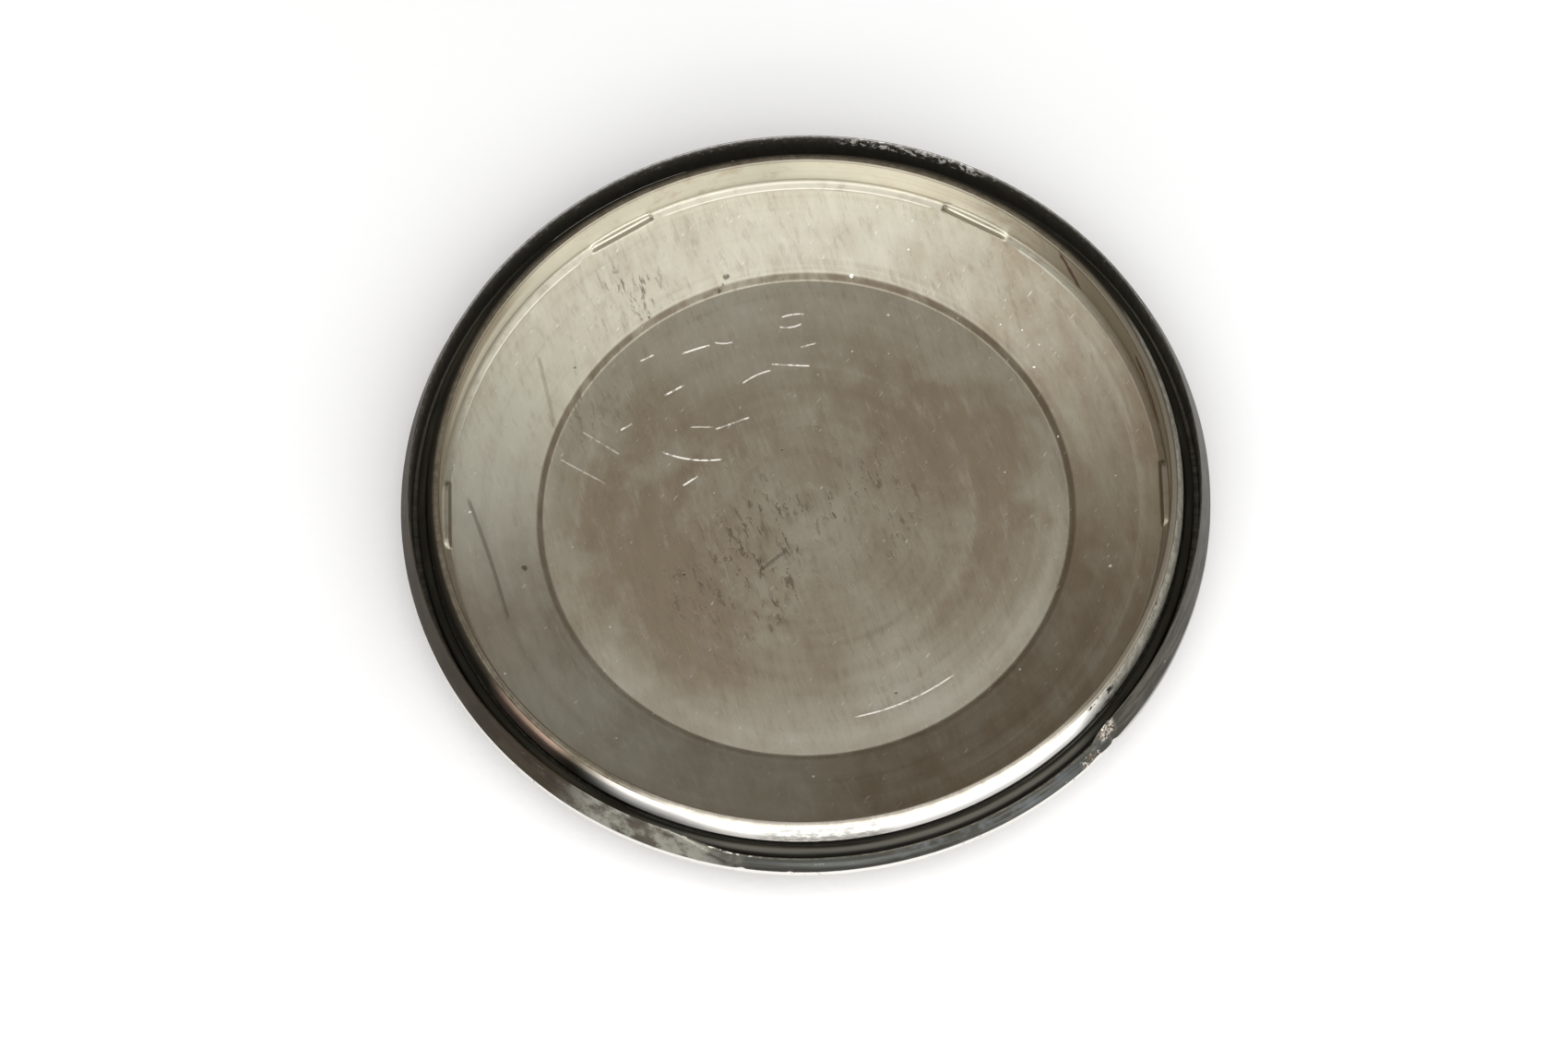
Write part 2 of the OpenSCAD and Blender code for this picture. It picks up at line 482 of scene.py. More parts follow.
# Fine scratches inside: x, y of the middle, direction in degrees, length, sagitta, strength. In mm.
# A strength below 0 makes a dark scratch.
SCRATCHES = [
    (-4.3, 8.1, 16, 1.3, 0.02, 1.0),
    (-3.1, 8.3, -3, 0.8, -0.06, 0.7),
    (-5.3, 6.2, 28, 1.0, 0.0, 1.0),
    (-7.4, 4.6, 28, 0.6, 0.0, 0.9),
    (-6.4, 7.8, 24, 0.7, 0.0, 0.8),
    (-4.7, 2.9, -11, 2.7, -0.2, 1.0),
    (-4.8, 1.9, 33, 0.8, 0.0, 1.0),
    (-1.8, 6.7, 24, 1.4, 0.08, 0.8),
    (-0.3, 7.1, -6, 1.7, 0.0, 0.9),
    (-4.2, 4.4, -4, 1.0, 0.0, 0.5),
    (-2.9, 4.5, 18, 1.6, 0.0, 0.8),
    (-0.1, 9.5, 6, 1.0, 0.06, 0.8),
    (-0.2, 8.9, 6, 1.0, -0.1, 0.8),
    (0.5, 8.0, 12, 0.7, 0.0, 0.6),
    (-8.5, 3.9, -37, 2.0, 0.0, 0.35),
    (-9.3, 2.6, -34, 2.4, 0.0, 0.35),
    (3.8, -8.8, 22, 4.8, -0.3, 0.7),
    (-13.35, -1.55, -75, 6.2, 0.1, -0.6),
    (-10.7, 6.3, -80, 3.2, 0.0, -0.35),
    (-1.5, -2.0, 38, 1.6, 0.0, -0.5),
]


def scratch_marks(net):
    """Bright and dark scratches from SCRATCHES, each broken up along its length."""
    broken = net.between(net.noise(net.place, 4.0, 2.0), 0.38, 0.5)
    bright, dark = 0.0, 0.0
    for x, y, turn, length, sagitta, strength in SCRATCHES:
        local = net.add("ShaderNodeMapping", vector_type="TEXTURE")
        net.join(local.inputs["Vector"], net.place)
        local.inputs["Location"].default_value = (x, y, 0)
        local.inputs["Rotation"].default_value = (0, 0, math.radians(turn))
        parts = net.add("ShaderNodeSeparateXYZ")
        net.join(parts.inputs[0], local.outputs[0])
        along, across = parts.outputs[0], parts.outputs[1]
        half = length / 2
        if sagitta:
            arch = net.math("MULTIPLY", net.math("MULTIPLY", along, along), sagitta / half**2)
            across = net.math("ADD", across, arch)
        width = 0.055 if strength > 0 else 0.12
        line = net.between(net.math("ABSOLUTE", across), width, width * 0.35)
        ends = net.between(net.math("ABSOLUTE", along), half, half * 0.85)
        mark = net.times(line, ends, abs(strength))
        if strength > 0:
            bright = net.math("MAXIMUM", bright, mark)
        else:
            dark = net.math("MAXIMUM", dark, mark)
    return net.times(bright, net.between(broken, 0.0, 1.0, 0.35, 1.0)), dark


def blobs(net, places):
    """A soft stain at each (x, y, reach, strength), in mm, with ragged edges."""
    ragged = net.noise(net.place, 0.5, 4.0, 0.6)
    total = 0.0
    for x, y, reach, strength in places:
        away = net.sum(net.distance(x, y), net.times(net.math("SUBTRACT", ragged, 0.5), reach * 2.4))
        total = net.sum(total, net.between(away, reach * 1.5, 0.0, 0.0, strength))
    return total


def dots(net, places):
    """Small hard specks at each (x, y, reach), in mm."""
    wobble = net.times(net.math("SUBTRACT", net.noise(net.place, 7.0, 3.0), 0.5), 0.22)
    total = 0.0
    for x, y, reach in places:
        away = net.sum(net.distance(x, y), wobble)
        total = net.math("MAXIMUM", total, net.between(away, reach, reach * 0.6))
    return total


# Hard specks on the floor: x, y, reach, in mm
DARK_SPECKS = [
    (-11.93, -1.93, 0.16),
    (-2.85, 11.3, 0.16),
    (-3.15, 10.75, 0.09),
    (-3.0, 11.0, 0.06),
    (-6.2, 9.6, 0.07),
]
PALE_SPECKS = [
    (-14.1, 0.6, 0.08),
    (-12.9, -7.0, 0.06),
    (2.5, 11.05, 0.08),
    (9.6, 7.9, 0.05),
    (10.3, 7.2, 0.06),
    (8.7, 8.3, 0.04),
    (10.0, 6.2, 0.04),
    (12.6, -3.4, 0.07),
    (-0.3, -12.2, 0.06),
    (5.0, 12.0, 0.04),
]

# Soft stains and pitted places on the floor: x, y, reach, in mm, and strength
BROWN_STAINS = [
    (-6.6, -1.6, 4.0, 0.75),
    (-9.3, 1.6, 2.4, 0.35),
    (6.8, 2.6, 3.6, 0.75),
    (3.2, 5.4, 2.6, 0.40),
    (8.8, -2.6, 2.4, 0.40),
    (-2.6, 4.6, 2.4, 0.35),
    (0.2, -6.6, 2.2, 0.30),
    (9.6, 10.2, 3.0, 0.25),
    (-13.0, -5.5, 3.0, 0.30),
    (-5.2, -5.8, 2.6, 0.65),
    (5.6, -4.6, 2.6, 0.30),
    (-6.3, 5.2, 2.6, 0.35),
]
PALE_STAINS = [
    (-3.2, 8.2, 3.0, 0.50),
    (1.2, -1.4, 1.6, 0.45),
    (3.6, -7.6, 3.2, 0.70),
    (-0.5, -9.8, 2.4, 0.40),
    (-8.0, -6.9, 1.8, 0.35),
    (8.8, -5.6, 2.0, 0.30),
    (-13.2, 2.0, 3.0, 0.60),
    (-10.0, 8.5, 3.2, 0.35),
    (0.0, 13.2, 3.0, 0.20),
    (-3.0, -13.0, 3.0, 0.35),
    (-10.2, -8.8, 3.0, 0.40),
]
PITTED = [
    (-1.6, -0.6, 3.4, 1.0),
    (3.4, -0.6, 2.4, 0.8),
    (2.6, 2.0, 2.0, 0.6),
    (-7.0, 10.4, 1.4, 0.9),
    (-8.4, 5.4, 1.8, 0.8),
    (-3.4, -3.6, 2.6, 0.5),
]


def floor_steel():
    """The disc and the dished floor: rolled sheet, pitted along its grain, stained, with fine scratches and
    painted shade in the step at the disc's edge.
    """
    net = Net("steel_floor")
    hair = net.noise(net.grain(GRAIN_TURN, 2.2, 0.06), 1.0, 2.0, 0.55)
    streak = net.noise(net.grain(GRAIN_TURN, 1.5, 0.22, 3.0), 1.0, 4.0, 0.62)
    smudge = net.noise(net.grain(GRAIN_TURN, 3.0, 1.1, 9.0), 1.0, 4.0, 0.62)
    cloud = net.noise(net.place, 0.42, 4.0, 0.6)
    pits = net.noise(net.grain(GRAIN_TURN + 3, 0.95, 0.24, 7.0), 1.0, 4.0, 0.72)
    nicks = net.noise(net.grain(-38.0, 0.55, 0.11, 13.0), 1.0, 2.0, 0.6)
    rings = net.noise(net.turned(1.1, 60.0), 1.0, 4.0, 0.65)
    disc = net.between(net.r, RECESS_R + 0.12, RECESS_R - 0.08)
    pitted = net.sum(blobs(net, PITTED), 0.22)
    pit = net.times(net.between(pits, 0.55, 0.64), pitted)
    # Painted shade in the step at the disc's edge, strongest on the far side and broken up by noise.
    slope = net.between(net.math("ABSOLUTE", net.math("SUBTRACT", net.r, RECESS_R + 0.13)), 0.20, 0.06)
    shade_break = net.between(smudge, 0.3, 0.6, 0.50, 0.85)
    painted_step_shade = net.times(slope, shade_break, net.between(net.arc(110, 70, 40), 0.0, 1.0, 0.5, 1.0))
    lean = net.between(net.vector("DOT_PRODUCT", net.place, (0.88, -0.47, 0.0)), -3.0, 15.0)
    brown = net.sum(
        net.times(lean, net.math("SUBTRACT", 1.0, disc), 0.78),
        blobs(net, BROWN_STAINS),
        net.times(net.math("SUBTRACT", smudge, 0.5), 1.0),
        net.times(net.math("SUBTRACT", cloud, 0.5), 0.9),
        net.times(net.between(net.r, RECESS_R - 0.4, 8.0), 0.34),
        0.13,
    )
    brown = net.math("MAXIMUM", net.math("MINIMUM", brown, 1.0), 0.0)
    base = net.mix(disc, (0.435, 0.42, 0.345), (0.41, 0.382, 0.308))
    colour = net.mix(brown, base, net.mix(disc, (0.27, 0.217, 0.152), (0.285, 0.234, 0.170)))
    patchy = net.between(smudge, 0.25, 0.6, 0.5, 1.0)
    pale = net.math("MINIMUM", net.times(blobs(net, PALE_STAINS), patchy), 1.0)
    colour = net.mix(net.times(pale, 0.7), colour, (0.53, 0.523, 0.445))
    mottle = net.noise(net.grain(GRAIN_TURN - 10, 1.3, 0.6, 17.0), 1.0, 5.0, 0.7)
    tone = net.sum(
        net.times(net.math("SUBTRACT", mottle, 0.5), net.between(disc, 0.0, 1.0, 0.15, 0.45)),
        net.times(net.math("SUBTRACT", hair, 0.5), net.between(disc, 0.0, 1.0, 0.18, 0.28)),
        net.times(net.math("SUBTRACT", streak, 0.5), net.between(disc, 0.0, 1.0, 0.30, 0.60)),
        net.times(net.math("SUBTRACT", rings, 0.5), net.between(lean, 0.3, 0.9, 0.8, 1.3)),
    )
    colour = net.mix(net.between(tone, 0.0, 0.30, 0.0, 0.55), colour, (0.21, 0.175, 0.13))
    colour = net.mix(net.between(tone, 0.0, -0.30, 0.0, 0.28), colour, (0.60, 0.585, 0.50))
    flakes = net.noise(net.grain(GRAIN_TURN, 1.1, 0.38, 5.0), 1.0, 4.0, 0.65)
    flake = net.times(net.between(flakes, 0.50, 0.66), pitted)
    colour = net.mix(net.times(flake, 0.35), colour, (0.17, 0.135, 0.10))
    colour = net.mix(net.times(pit, 0.6), colour, (0.12, 0.092, 0.065))
    colour = net.mix(painted_step_shade, colour, (0.15, 0.12, 0.085))
    bright, dark = scratch_marks(net)
    dust = net.specks(net.place, 1.3, 0.16, 0.09)
    spots = net.specks(net.vector("ADD", net.place, (31.0, 5.0, 0.0)), 0.7, 0.10, 0.08)
    dark = net.math("MAXIMUM", dark, net.math("MAXIMUM", spots, dots(net, DARK_SPECKS)))
    fluff = net.times(net.math("MAXIMUM", dust, dots(net, PALE_SPECKS)), 0.8)
    colour = net.mix(net.between(nicks, 0.68, 0.78, 0.0, 0.5), colour, (0.85, 0.83, 0.76))
    colour = net.mix(net.times(dark, 0.8), colour, (0.09, 0.075, 0.055))
    colour = net.mix(net.math("MAXIMUM", bright, fluff), colour, (0.98, 0.96, 0.90))
    rough = net.sum(
        0.34,
        net.times(streak, 0.12),
        net.times(pit, 0.25),
        net.times(bright, 0.15),
        net.times(slope, 0.25),
    )
    height = net.sum(
        net.times(hair, 0.25),
        net.times(streak, 0.5),
        net.times(pit, -1.0),
        net.times(rings, 0.35),
        net.times(dark, -1.0),
        net.times(bright, 1.0),
    )
    return net.finish(colour, rough, net.times(height, net.between(disc, 0.0, 1.0, 0.5, 1.0)), 0.006)


def foot_steel():
    """The foot of the wall and the stops: stained corners, painted shade on the stops' sloped faces, and on
    the far side painted light with painted highlights on the fillet, the stops' edges and the dish's edge.
    """
    net = Net("steel_foot")
    lines = net.noise(net.turned(9.0, 12.0), 1.0, 3.0, 0.6)
    blotch = net.noise(net.place, 1.4, 4.0, 0.65)
    far = net.arc(100, 45, 25)
    # Painted light: the foot is lighter on the far side.
    pale = net.arc(110, 62, 32)
    off = net.from_stop()
    stop = net.between(off, STOP_EDGE + 0.1, STOP_EDGE - 0.3)
    chord = net.times(net.r, net.math("COSINE", net.math("RADIANS", off)))
    heel = net.between(net.math("ABSOLUTE", net.math("SUBTRACT", chord, STOP_FACE)), 0.035, 0.015)
    edge = net.between(net.math("ABSOLUTE", net.math("SUBTRACT", net.r, DISH_R)), 0.035, 0.01)
    brow = net.between(net.math("ABSOLUTE", net.math("SUBTRACT", chord, STOP_FACE + 0.17)), 0.05, 0.02)
    sloped = net.between(chord, STOP_FACE + 0.15, STOP_FACE + 0.12)
    # Painted shade on the sloped faces of the far stops.
    face = net.times(stop, sloped, net.between(net.z, 1.79, 1.82), far)
    # Painted highlights along the stops' edges and the dish's edge, on the far side.
    stop_edge_highlight = net.times(stop, net.math("MAXIMUM", heel, brow))
    light = net.math("MAXIMUM", stop_edge_highlight, net.times(edge, net.between(stop, 1.0, 0.0)))
    colour = net.mix(pale, (0.33, 0.285, 0.22), (0.37, 0.355, 0.29))
    colour = net.mix(net.between(blotch, 0.45, 0.7, 0.0, 0.5), colour, (0.24, 0.20, 0.145))
    colour = net.mix(net.between(lines, 0.5, 0.8, 0.0, 0.3), colour, (0.16, 0.135, 0.10))
    # Painted highlight on the fillet into the wall, on the far side.
    colour = net.mix(net.times(net.between(net.r, 15.16, 15.27), pale, 0.5), colour, (0.80, 0.785, 0.70))
    colour = net.mix(net.times(face, net.between(blotch, 0.2, 0.7, 0.75, 1.0)), colour, (0.27, 0.265, 0.215))
    painted_highlight = net.times(light, far, net.between(stop, 0.0, 1.0, 0.30, 0.85))
    colour = net.mix(painted_highlight, colour, (0.93, 0.91, 0.82))
    rough = net.sum(0.34, net.times(blotch, 0.15))
    return net.finish(colour, rough, net.sum(lines, blotch), 0.004)


# Two lines of rust on the wall, each from one (direction in degrees, height in mm) to another
RUST_LINES = [((10.5, 2.2), (21.0, 2.85)), ((37.1, 2.1), (41.8, 3.4))]


def wall_steel():
    """The inner wall: turned bright, with painted shade away from the far side and at the upper left,
    painted light in two bright areas, and rust towards the right.
    """
    net = Net("steel_wall")
    lines = net.noise(net.turned(14.0, 30.0), 1.0, 2.0, 0.6)
    blotch = net.noise(net.place, 1.1, 4.0, 0.65)
    rust = 0.0
    for (turn_a, low), (turn_b, high) in RUST_LINES:
        rise = net.times(net.math("SUBTRACT", net.degrees, turn_a), (low - high) / (turn_b - turn_a))
        path = net.sum(net.z, -low, rise, net.times(net.math("SUBTRACT", blotch, 0.5), 0.8))
        line = net.between(net.math("ABSOLUTE", path), 0.32, 0.14)
        span = net.arc((turn_a + turn_b) / 2, (turn_b - turn_a) / 2, 0.8)
        rust = net.math("MAXIMUM", rust, net.times(line, span))
    # Painted shade: darker away from the far side, and at the upper left at mid height.
    dull = net.math("SUBTRACT", 1.0, net.arc(104, 50, 20))
    upper_left_shade = net.times(net.arc(160, 14, 12), net.between(net.z, 2.7, 3.2))
    dull = net.math("MAXIMUM", dull, upper_left_shade)
    colour = net.mix(net.between(blotch, 0.45, 0.7), (0.68, 0.665, 0.585), (0.56, 0.51, 0.42))
    # Painted light in two bright areas of the wall.
    painted_glow = net.math("MAXIMUM", net.arc(74, 12, 8), net.arc(144, 14, 12))
    colour = net.mix(net.times(painted_glow, 0.6), colour, (0.90, 0.88, 0.78))
    colour = net.mix(net.times(dull, 0.92), colour, (0.42, 0.37, 0.29))
    colour = net.mix(net.between(lines, 0.5, 0.8, 0.0, 0.3), colour, (0.36, 0.32, 0.25))
    colour = net.mix(net.times(net.between(net.z, 3.62, 3.78), 0.8), colour, (0.22, 0.19, 0.14))
    colour = net.mix(net.times(rust, 0.88), colour, (0.085, 0.035, 0.022))
    rough = net.sum(0.36, net.times(blotch, 0.14), net.times(rust, 0.3))
    return net.finish(colour, rough, net.sum(lines, net.times(rust, 0.6)), 0.004, turned=0.75)


def crest_steel():
    """The narrow flat on top of the wall: brown with dirt, with painted light on the near side."""
    net = Net("steel_crest")
    lines = net.noise(net.turned(12.0, 16.0), 1.0, 3.0, 0.6)
    dirt = net.noise(net.place, 2.2, 4.0, 0.7)
    colour = net.mix(net.between(dirt, 0.35, 0.65), (0.21, 0.185, 0.14), (0.13, 0.11, 0.08))
    colour = net.mix(net.times(net.arc(350, 40, 18), 0.8), colour, (0.25, 0.22, 0.175))
    # Painted light on the near side, weaker at the inner edge and where the dirt is heavy.
    near_side_light = net.times(net.arc(277, 27, 15), net.between(net.r, WALL_R + 0.03, WALL_R + 0.14, 0.25, 1.0))
    colour = net.mix(net.times(near_side_light, net.between(dirt, 0.6, 0.4, 0.75, 1.0)), colour, (0.66, 0.62, 0.54))
    colour = net.mix(net.between(lines, 0.62, 0.75, 0.0, 0.5), colour, (0.48, 0.44, 0.36))
    rough = net.sum(0.36, net.times(dirt, 0.16))
    return net.finish(colour, rough, net.sum(lines, dirt), 0.004)


def lip_steel():
    """The lead-in chamfer and the lip: painted light on the near side and on the right, a painted dark
    reflection in the middle of the near side, darker and chipped elsewhere.
    """
    net = Net("steel_lip")
    lines = net.noise(net.turned(14.0, 14.0), 1.0, 3.0, 0.6)
    glitter = net.noise(net.vector("MULTIPLY", net.place, (1.0, 1.0, 1.6)), 2.6, 5.0, 0.7)
    # Painted light on the near side.
    near_painted_light = net.arc(276, 35, 12)
    pattern = net.sum(net.times(glitter, 0.6), net.times(lines, 0.4))
    # A painted dark reflection in the middle of the near side.
    dark_reflection_spot = net.times(net.arc(270, 7, 5), net.between(pattern, 0.42, 0.56))
    # Painted light on the right side.
    right = net.arc(347.5, 35.5, 8)
    chip = net.times(
        net.math("MAXIMUM", net.arc(318.5, 2.4, 1.0), net.arc(333.5, 2.4, 1.0)),
        net.between(net.noise(net.turned(3.4, 0.7), 1.0, 3.0, 0.7), 0.54, 0.60),
    )
    tint = net.arc(220, 4, 6)
    colour = net.mix(net.between(lines, 0.5, 0.8, 0.0, 0.5), (0.16, 0.145, 0.115), (0.09, 0.08, 0.06))
    right_tone = net.mix(net.between(glitter, 0.42, 0.58), (0.27, 0.26, 0.215), (0.42, 0.41, 0.35))
    colour = net.mix(right, colour, right_tone)
    colour = net.mix(near_painted_light, colour, (0.97, 0.96, 0.93))
    colour = net.mix(net.times(dark_reflection_spot, 0.75), colour, (0.30, 0.29, 0.26))
    colour = net.mix(net.times(tint, 0.7), colour, (0.84, 0.63, 0.53))
    colour = net.mix(chip, colour, (0.03, 0.03, 0.025))
    rough = net.sum(0.38, net.times(glitter, 0.12))
    height = net.sum(net.times(lines, 0.6), net.times(glitter, dark_reflection_spot, 1.0), net.times(chip, -1.0))
    # Where light is painted the shader is less metallic, so the pale colour shows.
    painted_light_share = net.math("MAXIMUM", near_painted_light, net.times(right, 1.2))
    metal = net.between(painted_light_share, 0.0, 1.2, 1.0, 0.45, smooth=False)
    return net.finish(colour, rough, height, 0.003, metal=metal)


def groove_steel():
    """The neck, the groove's floor and the ring's bore: near black, lighter on the far side and at the top
    edge there, with painted glints on the far side and painted light on the floor under the notch.
    """
    net = Net("steel_groove")
    lines = net.noise(net.turned(8.0, 10.0), 1.0, 3.0, 0.6)
    drag = net.noise(net.combine(net.times(net.angle, 60.0), net.times(net.z, 0.8), 0.0), 1.0, 3.0, 0.7)
    light = net.specks(net.place, 1.6, 0.12, 0.10)
    far = net.arc(95, 70, 20)
    cloudy = net.between(net.noise(net.place, 4.5, 4.0, 0.75), 0.55, 0.66, 0.0, 0.9)
    haze = net.times(far, net.between(net.z, 2.9, 3.3), cloudy)
    top = net.times(net.between(net.z, 3.36, 3.60), net.arc(88, 58, 15))
    glint = net.between(net.noise(net.place, 3.6, 4.0, 0.7), 0.50, 0.58)
    # Painted glints on the far side; the shader is less metallic there, so they show.
    shine = net.times(net.arc(71, 9, 4), net.between(net.z, 2.9, 3.1), glint)
    near = net.times(net.between(net.z, 2.72, 2.80), net.arc(279, 34, 2))
    lint = net.times(near, net.between(net.noise(net.place, 5.0, 2.0), 0.53, 0.58), net.arc(252, 5, 5))
    # A faint broken pale line along the notch's cut edge.
    pale_edge_line = net.times(near, net.between(net.noise(net.turned(3.0, 2.0), 1.0, 3.0), 0.45, 0.60, 0.0, 0.10))
    colour = net.mix(net.between(drag, 0.35, 0.7), (0.075, 0.07, 0.055), (0.15, 0.14, 0.115))
    colour = net.mix(net.times(far, 0.6), colour, (0.20, 0.185, 0.15))
    colour = net.mix(net.math("MAXIMUM", pale_edge_line, haze), colour, (0.34, 0.33, 0.30))
    top_tone = net.mix(net.between(drag, 0.35, 0.65), (0.62, 0.61, 0.59), (0.40, 0.38, 0.34))
    colour = net.mix(top, colour, top_tone)
    colour = net.mix(net.times(shine, 0.85), colour, (0.90, 0.88, 0.83))
    # Painted light on the groove's floor under the notch.
    notch_floor_light = net.times(net.arc(280, 36, 6), net.between(net.z, 2.3, 2.1), 0.8)
    colour = net.mix(notch_floor_light, colour, (0.42, 0.41, 0.37))
    colour = net.mix(net.math("MAXIMUM", light, lint), colour, (0.60, 0.58, 0.53))
    rough = net.sum(0.52, net.times(drag, 0.2))
    metal = net.between(net.math("MAXIMUM", shine, haze), 0.0, 1.0, 1.0, 0.2)
    return net.finish(colour, rough, net.sum(lines, drag), 0.004, metal=metal)


def ring_steel():
    """The ring's outer slope and the notch's face: dark patina, clouded, with knife marks and a burr,
    painted light on the right, a painted blue-gray reflection tone on the near side and a painted glare spot
    at the near left.
    """
    net = Net("steel_ring")
    lines = net.noise(net.turned(7.0, 8.0), 1.0, 3.0, 0.6)
    cloud = net.noise(net.vector("MULTIPLY", net.place, (1.0, 1.0, 2.0)), 0.55, 4.0, 0.65)
    fleck = net.noise(net.place, 3.0, 3.0, 0.7)
    mottle = net.noise(net.place, 1.1, 4.0, 0.65)
    # A painted glare spot at the near left.
    glare_spot = net.times(net.arc(244, 7, 9), net.between(mottle, 0.38, 0.62, 0.15, 1.0))
    # Painted light on the right side.
    right = net.arc(355, 48, 15)
    near = net.arc(284, 27, 8)
    fine = net.noise(net.place, 6.0, 3.0, 0.7)
    scuff = net.noise(net.turned(5.0, 1.5), 1.0, 4.0, 0.7)
    colour = net.mix(net.between(cloud, 0.35, 0.65), (0.031, 0.022, 0.013), (0.055, 0.043, 0.028))
    right_tone = net.mix(net.between(scuff, 0.38, 0.62), (0.041, 0.037, 0.028), (0.098, 0.090, 0.071))
    colour = net.mix(right, colour, right_tone)
    # A painted blue-gray reflection tone on the near side.
    colour = net.mix(net.times(near, net.between(cloud, 0.3, 0.7, 0.5, 1.0)), colour, (0.042, 0.046, 0.043))
    shade = net.times(net.arc(294, 9, 8), net.between(cloud, 0.40, 0.60))
    colour = net.mix(net.times(shade, 0.7), colour, (0.105, 0.114, 0.120))
    colour = net.mix(net.times(glare_spot, 0.85), colour, (0.30, 0.295, 0.255))
    marks = net.times(net.between(lines, 0.62, 0.75), net.between(fleck, 0.5, 0.6), 0.6)
    colour = net.mix(net.times(near, net.between(lines, 0.48, 0.62), 0.6), colour, (0.10, 0.105, 0.10))
    colour = net.mix(marks, colour, (0.34, 0.33, 0.30))
    dust = net.specks(net.place, 2.0, 0.22, 0.12)
    colour = net.mix(net.times(dust, 0.7), colour, (0.52, 0.50, 0.45))
    above = net.between(net.z, 2.75, 2.95)
    below = net.between(net.z, 2.75, 2.6)
    clump = net.times(net.arc(315.4, 0.9, 1.0), above, net.between(fine, 0.40, 0.47))
    spill = net.times(net.arc(311.6, 1.2, 1.0), below, net.between(fine, 0.47, 0.53))
    rusty = net.between(net.noise(net.place, 7.5, 2.0), 0.48, 0.55)
    bits = net.mix(rusty, (0.60, 0.57, 0.51), (0.13, 0.075, 0.045))
    colour = net.mix(net.times(net.math("MAXIMUM", clump, spill), 0.9), colour, bits)
    left = net.arc(195, 28, 12)
    rough = net.sum(0.30, net.times(cloud, 0.16), net.times(fleck, 0.08), net.times(left, 0.12))
    height = net.sum(
        net.times(lines, 0.6),
        net.times(clump, fine, 3.0),
        net.times(fleck, 0.3),
        net.times(scuff, 0.4),
    )
    return net.finish(colour, rough, height, 0.004)


def land_steel():
    """The upright land under the outer edge: bright from handling, darker on the right, nicked."""
    net = Net("steel_land")
    lines = net.noise(net.turned(12.0, 20.0), 1.0, 2.0, 0.6)
    nick = net.between(net.noise(net.place, 2.5, 4.0, 0.75), 0.60, 0.68)
    colour = net.mix(net.between(lines, 0.45, 0.75, 0.0, 0.3), (0.82, 0.80, 0.76), (0.55, 0.52, 0.46))
    colour = net.mix(net.times(net.arc(5, 35, 20), 0.9), colour, (0.15, 0.147, 0.133))
    colour = net.mix(net.times(nick, 0.7), colour, (0.16, 0.14, 0.12))
    rough = net.sum(0.28, net.times(lines, 0.15))
    return net.finish(colour, rough, net.sum(lines, net.times(nick, -0.8)), 0.004)


def outside_steel():
    """The outside: lightly turned, abraded by wear on a wrist, with small scuffs."""
    net = Net("steel_outside")
    lines = net.noise(net.turned(8.0, 40.0), 1.0, 3.0, 0.6)
    scuff = net.noise(net.grain(63.0, 5.0, 0.12), 1.0, 2.0, 0.6)
    other = net.noise(net.grain(-22.0, 4.0, 0.10, 11.0), 1.0, 2.0, 0.6)
    dull = net.noise(net.place, 0.35, 4.0, 0.6)
    marks = net.math("MAXIMUM", net.between(scuff, 0.66, 0.74), net.between(other, 0.68, 0.76))
    colour = net.mix(net.between(dull, 0.35, 0.7), (0.58, 0.56, 0.51), (0.42, 0.39, 0.34))
    colour = net.mix(net.between(lines, 0.5, 0.8, 0.0, 0.35), colour, (0.34, 0.32, 0.28))
    colour = net.mix(net.times(marks, 0.5), colour, (0.75, 0.74, 0.70))
    rough = net.sum(0.28, net.times(dull, 0.16), net.times(marks, 0.1))
    return net.finish(colour, rough, net.sum(net.times(lines, 0.6), net.times(marks, -0.5)), 0.005)


def rubber():
    """The gasket: black rubber, matt, with dust, a paler band on the near side and a painted highlight line
    on the far side.
    """
    net = Net("rubber_gasket")
    skin = net.noise(net.place, 9.0, 3.0, 0.6)
    smear = net.noise(net.turned(2.0, 5.0), 1.0, 3.0, 0.6)
    dust = net.specks(net.place, 1.3, 0.14, 0.09)
    colour = net.mix(net.between(smear, 0.4, 0.75), (0.013, 0.012, 0.008), (0.036, 0.033, 0.023))
    colour = net.mix(net.times(dust, 0.9), colour, (0.62, 0.60, 0.55))
    # A painted highlight line on the gasket's top, on the far side towards the left.
    far_highlight_r = 16.245
    far_highlight_line = net.between(net.math("ABSOLUTE", net.math("SUBTRACT", net.r, far_highlight_r)), 0.022, 0.008)
    on_top = net.between(net.z, GASKET_TOP - 0.2, GASKET_TOP - 0.1)
    colour = net.mix(net.times(far_highlight_line, net.arc(117, 11, 1), on_top), colour, (0.42, 0.41, 0.36))
    # A paler band on the near side.
    patchy = net.between(smear, 0.3, 0.6, 0.5, 1.0)
    near_pale_band = net.times(net.arc(280, 32, 10), net.between(net.r, 16.02, 16.14), patchy)
    colour = net.mix(net.times(near_pale_band, 0.8), colour, (0.10, 0.097, 0.082))
    rough = net.sum(0.68, net.times(smear, 0.2))
    return net.finish(colour, rough, net.sum(net.times(skin, 0.5), dust), 0.012, 0.0, shine=0.1)


def paper():
    """The pale paper that it lies on."""
    net = Net("paper")
    fibre = net.noise(net.place, 2.0, 4.0, 0.6)
    tone = net.noise(net.place, 0.03, 2.0, 0.5)
    colour = net.mix(net.between(tone, 0.3, 0.7), (0.825, 0.832, 0.848), (0.845, 0.852, 0.868))
    return net.finish(colour, net.sum(0.75, net.times(fibre, 0.1)), fibre, 0.01, 0.0)


# ---------------------------------------------------------------- the pieces

